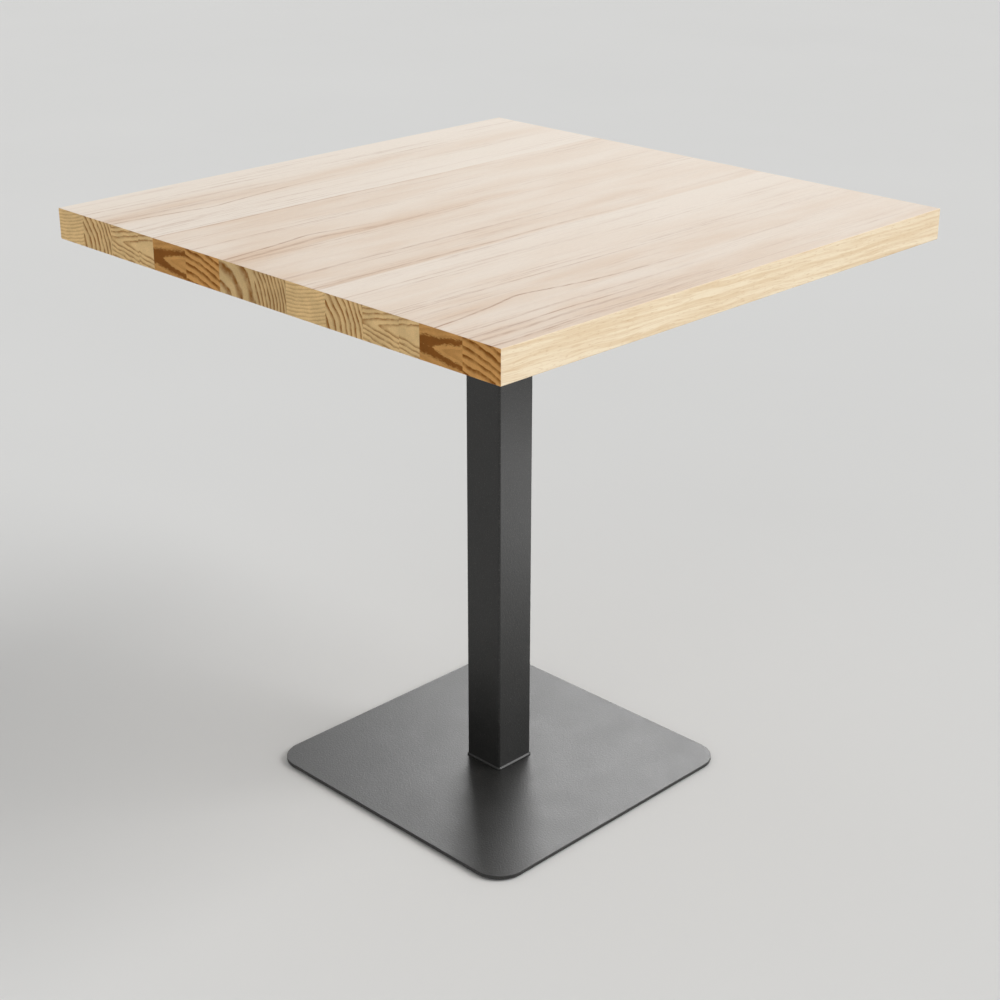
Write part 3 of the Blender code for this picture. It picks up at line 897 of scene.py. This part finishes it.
def wood_screw_profile(length, head_radius):
    """A pan-head wood screw with a hexagon socket, from the top of its round head."""
    crown = head_radius * PAN_CROWN_SHARE
    profile = [
        (0, WOOD_SOCKET_DEPTH + SOCKET_CONE),
        (WOOD_SOCKET_INRADIUS, WOOD_SOCKET_DEPTH, HEXAGON),
        (WOOD_SOCKET_INRADIUS, SCREW_EDGE, HEXAGON),
        (WOOD_SOCKET_INRADIUS + SCREW_EDGE, 0, HEXAGON),
    ]
    for step in range(PAN_STEPS + 1):
        angle = step / PAN_STEPS * math.pi / 2
        radius = crown + (head_radius - crown) * math.sin(angle)
        profile.append((radius, PAN_SHOULDER * (1 - math.cos(angle))))
    return [
        *profile,
        (head_radius, WOOD_HEAD_HEIGHT),
        (WOOD_SCREW_RADIUS, WOOD_HEAD_HEIGHT),
        *thread(
            WOOD_SCREW_RADIUS,
            WOOD_THREAD_DEPTH,
            WOOD_PITCH,
            WOOD_HEAD_HEIGHT + WOOD_PLAIN_LENGTH,
            length - WOOD_TIP,
        ),
        (WOOD_SCREW_RADIUS - WOOD_THREAD_DEPTH, length - WOOD_TIP),
        (0, length),
    ]


def make_top_screws(look):
    for number in TOP_SCREWS:
        node = f"tabletop_screw_{number}"
        low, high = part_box(node)
        profile = wood_screw_profile(high.z - low.z, width(node) / 2)
        turned_piece(f"wood_screw_{number}", profile, low.z, 1, node, "table", look, "zinc")
        make_washer(number, look)


def make_washer(number, look):
    node = f"tabletop_washer_{number}"
    low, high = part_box(node)
    outer, thickness = width(node) / 2, high.z - low.z
    section = [
        (WASHER_HOLE_RADIUS, thickness),
        (WASHER_HOLE_RADIUS, 0),
        (outer - SCREW_EDGE, 0),
        (outer, SCREW_EDGE),
        (outer, thickness - SCREW_EDGE),
        (outer - SCREW_EDGE, thickness),
    ]
    bm = bmesh.new()
    center = middle(node)
    rings = []
    for radius, height in section:
        angles = [i / TURNED_SEGMENTS * math.tau for i in range(TURNED_SEGMENTS)]
        rings.append(ring(bm, [ring_point(center, radius, angle) for angle in angles], low.z + height))
    for lower, upper in zip(rings, rings[1:] + rings[:1]):
        band(bm, lower, upper)
    piece_from(bm, f"washer_{number}", look, "table", "zinc", node)


def make_glide(number, pad_look, stud_look):
    """A levelling glide: a moulded pad, and the threaded stud whose flange sits in the pad."""
    pad_node, stud_node = f"glide_{number}_pad", f"glide_{number}_stud"
    pad_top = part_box(pad_node)[1].z
    pad_radius = width(pad_node) / 2
    pocket_floor = pad_top - PAD_POCKET_DEPTH
    profile = [
        (0, PAD_DIMPLE_DEPTH),
        (PAD_DIMPLE_RADIUS, PAD_DIMPLE_DEPTH),
        (PAD_DIMPLE_RADIUS + PAD_DIMPLE_DEPTH, 0),
    ]
    for step in range(PAD_EDGE_STEPS + 1):
        angle = step / PAD_EDGE_STEPS * math.pi / 2
        radius = pad_radius - PAD_EDGE * (1 - math.sin(angle))
        profile.append((radius, PAD_EDGE * (1 - math.cos(angle))))
    profile += [
        (pad_radius, pad_top - SCREW_EDGE),
        (pad_radius - SCREW_EDGE, pad_top),
        (PAD_POCKET_RADIUS, pad_top),
        (PAD_POCKET_RADIUS, pocket_floor),
        (0, pocket_floor),
    ]
    turned_piece(f"glide_{number}_foot", profile, 0, 1, pad_node, f"glide_{number}", pad_look, "nylon")
    low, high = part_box(stud_node)
    flange_radius, length = width(stud_node) / 2, high.z - low.z
    thread_end = length - STUD_THREAD_DEPTH
    profile = [
        (0, 0),
        (flange_radius, 0),
        (flange_radius, FLANGE_THICKNESS),
        (STUD_RADIUS, FLANGE_THICKNESS),
        *thread(STUD_RADIUS, STUD_THREAD_DEPTH, STUD_PITCH, FLANGE_THICKNESS, thread_end),
        (STUD_RADIUS - STUD_THREAD_DEPTH, length),
        (0, length),
    ]
    turned_piece(
        f"glide_{number}_spindle", profile, low.z, 1, stud_node, f"glide_{number}", stud_look, "zinc"
    )


# --- Stage --------------------------------------------------------------------------------------


def make_floor():
    bm = bmesh.new()
    bmesh.ops.create_grid(bm, x_segments=1, y_segments=1, size=FLOOR_SIZE / 2)
    mesh = bpy.data.meshes.new("floor")
    bm.to_mesh(mesh)
    bm.free()
    mesh.materials.append(floor_material())
    floor = bpy.data.objects.new("floor", mesh)
    bpy.context.scene.collection.objects.link(floor)


def add_light(name, kind, place, target, power):
    light = bpy.data.lights.new(name, kind)
    light.energy = power
    lamp = bpy.data.objects.new(name, light)
    bpy.context.scene.collection.objects.link(lamp)
    lamp.location = place
    lamp.rotation_euler = (Vector(target) - Vector(place)).to_track_quat("-Z", "Y").to_euler()
    return lamp


def make_lights():
    world = bpy.data.worlds.new("studio")
    bpy.context.scene.world = world
    world.use_nodes = True
    tree = world.node_tree
    tree.nodes["Background"].inputs["Color"].default_value = (1, 1, 1, 1)
    towards = tree.nodes.new("ShaderNodeVectorMath")
    towards.operation = "DOT_PRODUCT"
    towards.inputs[1].default_value = WORLD_BRIGHT_SIDE
    tree.links.new(tree.nodes.new("ShaderNodeTexCoord").outputs["Generated"], towards.inputs[0])
    strength = tree.nodes.new("ShaderNodeMapRange")
    strength.inputs["From Min"].default_value = -1.0
    strength.inputs["To Min"].default_value, strength.inputs["To Max"].default_value = WORLD_STRENGTHS
    tree.links.new(towards.outputs["Value"], strength.inputs["Value"])
    tree.links.new(strength.outputs[0], tree.nodes["Background"].inputs["Strength"])
    key = add_light("key", "SUN", KEY_PLACE, LIGHT_TARGET, KEY_STRENGTH)
    key.data.angle = KEY_ANGLE
    fill = add_light("fill", "SUN", FILL_PLACE, LIGHT_TARGET, FILL_STRENGTH)
    fill.data.angle = FILL_ANGLE
    for name, place, size, power in GLOSS_PANELS:
        panel = add_light(name, "AREA", place, LIGHT_TARGET, power)
        panel.data.shape = "RECTANGLE"
        panel.data.size, panel.data.size_y = size
        panel.visible_diffuse = False
        panel.visible_camera = False


def make_camera():
    camera = bpy.data.objects.new("camera", bpy.data.cameras.new("camera"))
    bpy.context.scene.collection.objects.link(camera)
    camera.data.lens = CAMERA_LENS
    camera.location = CAMERA_PLACE
    turn = Euler((math.pi / 2 - CAMERA_ELEVATION, 0, CAMERA_AZIMUTH)).to_matrix()
    camera.rotation_euler = (turn @ Matrix.Rotation(CAMERA_ROLL, 3, "Z")).to_euler()
    bpy.context.scene.camera = camera


def make_looks():
    return {
        "powder_coat": powder_coat_material(),
        "bare_steel": bare_steel_material(),
        "zinc": zinc_material(),
        "nylon": nylon_material(),
    }


def dress_cad_nodes(looks):
    """Gives the CAD nodes of the pedestal and its fasteners their finished materials."""
    for part in frame["record"]["subparts"]:
        if part["material_slot"] in looks:
            for slot in frame["nodes"][part["node"]].material_slots:
                slot.material = looks[part["material_slot"]]


bpy.context.scene.view_settings.view_transform = "Standard"
pieces = []
looks = make_looks()
make_top()
make_base_plate(looks["powder_coat"])
make_mounting_plate(looks["powder_coat"])
make_column(looks["powder_coat"])
make_foot_collar(looks["powder_coat"])
make_machine_screws(looks["zinc"])
make_top_screws(looks["zinc"])
for number in CORNERS:
    make_glide(number, looks["nylon"], looks["zinc"])
keep_flats_flat()
dress_cad_nodes(looks)
make_floor()
make_lights()
make_camera()
